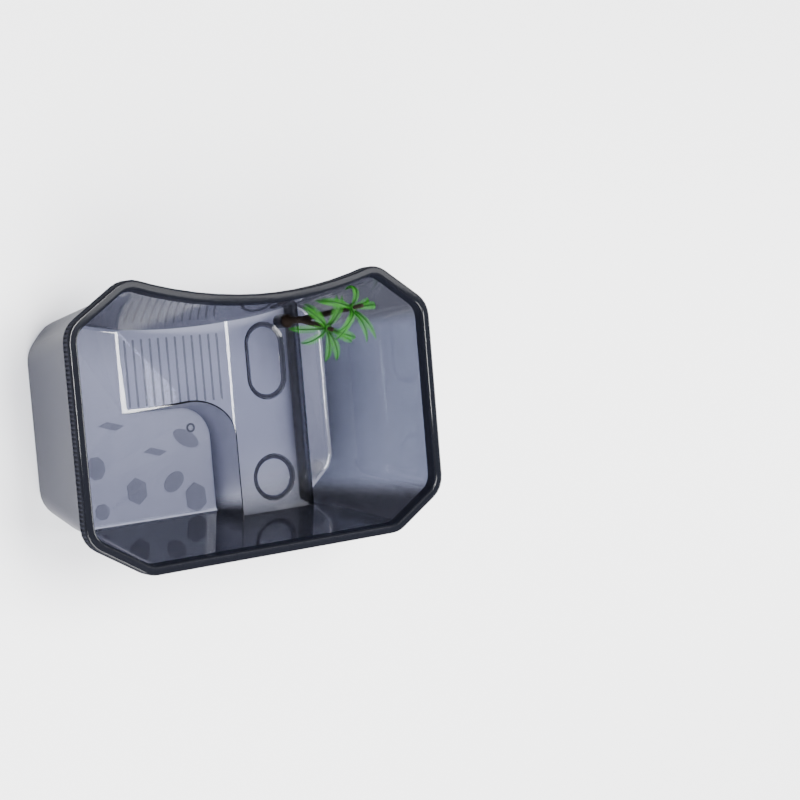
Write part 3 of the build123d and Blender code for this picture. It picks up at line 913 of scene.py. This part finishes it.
def trunk_group():
    """Geometry Nodes: a round body along each spine, as thick at each point as its girth there."""
    group = bpy.data.node_groups.new("turned_trunks", "GeometryNodeTree")
    group_socket(group, "Geometry", "NodeSocketGeometry")
    group_socket(group, "Sides", "NodeSocketInt", value=TRUNK_SIDES)
    group_socket(group, "Material", "NodeSocketMaterial")
    group_socket(group, "Geometry", "NodeSocketGeometry", "OUTPUT")
    links = group.links
    enter = add(group, "NodeGroupInput")
    leave = add(group, "NodeGroupOutput")
    spine = add(group, "GeometryNodeMeshToCurve")
    links.new(enter.outputs["Geometry"], spine.inputs["Mesh"])
    ring = add(group, "GeometryNodeCurvePrimitiveCircle")
    ring.inputs["Radius"].default_value = 1.0
    links.new(enter.outputs["Sides"], ring.inputs["Resolution"])
    body = add(group, "GeometryNodeCurveToMesh")
    body.inputs["Fill Caps"].default_value = True
    links.new(spine.outputs["Curve"], body.inputs["Curve"])
    links.new(ring.outputs["Curve"], body.inputs["Profile Curve"])
    links.new(attribute(group, "girth", "FLOAT"), body.inputs["Scale"])
    solid = add(group, "GeometryNodeRealizeInstances")
    paint = add(group, "GeometryNodeSetMaterial")
    links.new(body.outputs["Mesh"], solid.inputs["Geometry"])
    links.new(solid.outputs["Geometry"], paint.inputs["Geometry"])
    links.new(enter.outputs["Material"], paint.inputs["Material"])
    links.new(paint.outputs["Geometry"], leave.inputs["Geometry"])
    return group


def ringed(low, high, low_girth, high_girth):
    """Distance and girth of each corner of a trunk's bark rings, which flare upwards, in mm."""
    count = round((high - low) / RING_PITCH)
    pitch = (high - low) / count
    points = []
    for index in range(count):
        base = low + pitch * index
        girth = low_girth + (high_girth - low_girth) * index / count
        points += [(base + rise * pitch, girth + flare * RING_STEP) for rise, flare in RING_PROFILE]
    return points


def trunk_profile(crown, tip):
    """Distances from the fork and girths of one trunk, up through its leaf stars to its tip."""
    reach = (crown - FORK).length / MM
    hubs_top = reach + 2 * HUB_HEIGHT / MM
    sleeve = TIP_GIRTH + SLEEVE_STEP
    points = [(TRUNK_ROOT, TRUNK_GIRTH[0])]
    points += ringed(0.0, reach - CROWN_GAP, *TRUNK_GIRTH)
    points += [(reach - SLEEVE_GAP, sleeve), (hubs_top, sleeve)]
    points += ringed(hubs_top + SLEEVE_GAP, reach + tip, TIP_GIRTH, TIP_GIRTH)
    points += [(reach + tip + TIP_CAP[0], TIP_GIRTH)]
    points += [(reach + tip + TIP_CAP[1], TIP_GIRTH * CAP_SHARE)]
    return points


def add_spine(bm, girth_layer, points):
    """Adds a spine to a seed mesh from pairs of place and girth in mm."""
    last = None
    for place, girth in points:
        vert = bm.verts.new(place)
        vert[girth_layer] = girth * MM
        if last:
            bm.edges.new((last, vert))
        last = vert


def palm_trunk():
    """Foot with its plug, stem and both ringed trunks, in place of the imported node."""
    bm = bmesh.new()
    girth = bm.verts.layers.float.new("girth")
    foot = [(SOCKET + Vector((0, 0, rise * MM)), size) for rise, size in FOOT_PROFILE]
    foot += [(SOCKET.lerp(FORK, share), size) for share, size in zip(STEM_SHARES, STEM_GIRTH)]
    foot += [(FORK, STEM_GIRTH[1]), (FORK + STEM_CAP, STEM_GIRTH[1] * CAP_SHARE)]
    add_spine(bm, girth, foot)
    for crown, tip in ((TALL_CROWN, TALL_TIP), (SHORT_CROWN, SHORT_TIP)):
        along = (crown - FORK).normalized()
        profile = trunk_profile(crown, tip)
        add_spine(bm, girth, [(FORK + along * (rise * MM), size) for rise, size in profile])
    mesh = bpy.data.meshes.new("trunk_spines")
    bm.to_mesh(mesh)
    bm.free()
    mesh = grown("palm_bark", mesh, trunk_group(), {"Material": BARK})
    bm = bmesh.new()
    bm.from_mesh(mesh)
    bmesh.ops.recalc_face_normals(bm, faces=bm.faces)
    soften(bm, BARK_SHADING_ANGLE)
    bm.to_mesh(mesh)
    bm.free()
    piece = new_piece("palm_bark", mesh, "palm")
    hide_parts("palm_trunk")
    return piece


def table_top():
    bpy.ops.mesh.primitive_plane_add(size=TABLE_SIZE)
    table = bpy.context.object
    table.name = "table_top"
    table.data.materials.append(PAPER)


def soft_box(name, place, target, size, power):
    """Rectangular area light, aimed at its target, or straight down where it has none."""
    lamp = bpy.data.lights.new(name, "AREA")
    lamp.shape = "RECTANGLE"
    lamp.size, lamp.size_y = size
    lamp.energy = power
    obj = link(bpy.data.objects.new(name, lamp))
    obj.location = place
    if target:
        obj.rotation_euler = (Vector(target) - Vector(place)).to_track_quat("-Z", "Y").to_euler()
    return obj


def studio():
    world = bpy.data.worlds.new("studio")
    scene.world = world
    world.use_nodes = True
    sky = world.node_tree.nodes["Background"]
    sky.inputs["Color"].default_value = (*SKY_COLOUR, 1)
    sky.inputs["Strength"].default_value = SKY_STRENGTH
    for name, place, target, size, power in SOFT_BOXES:
        soft_box(name, place, target, size, power)


def camera():
    data = bpy.data.cameras.new("camera")
    data.sensor_width = SENSOR_WIDTH
    data.lens = CAMERA_LENS
    data.clip_start = 0.01
    obj = link(bpy.data.objects.new("camera", data))
    obj.location = CAMERA_PLACE
    obj.rotation_euler = Euler([math.radians(a) for a in CAMERA_TURN], "XYZ")
    scene.camera = obj


camera()
studio()
table_top()
tank_moulding()
palm_trunk()
skirt_ribs()
fronds = frond_group()
for index, (node, crown, storey) in enumerate(STARS):
    leaf_star(node, crown, storey, fronds, FIRST_SEED + index)
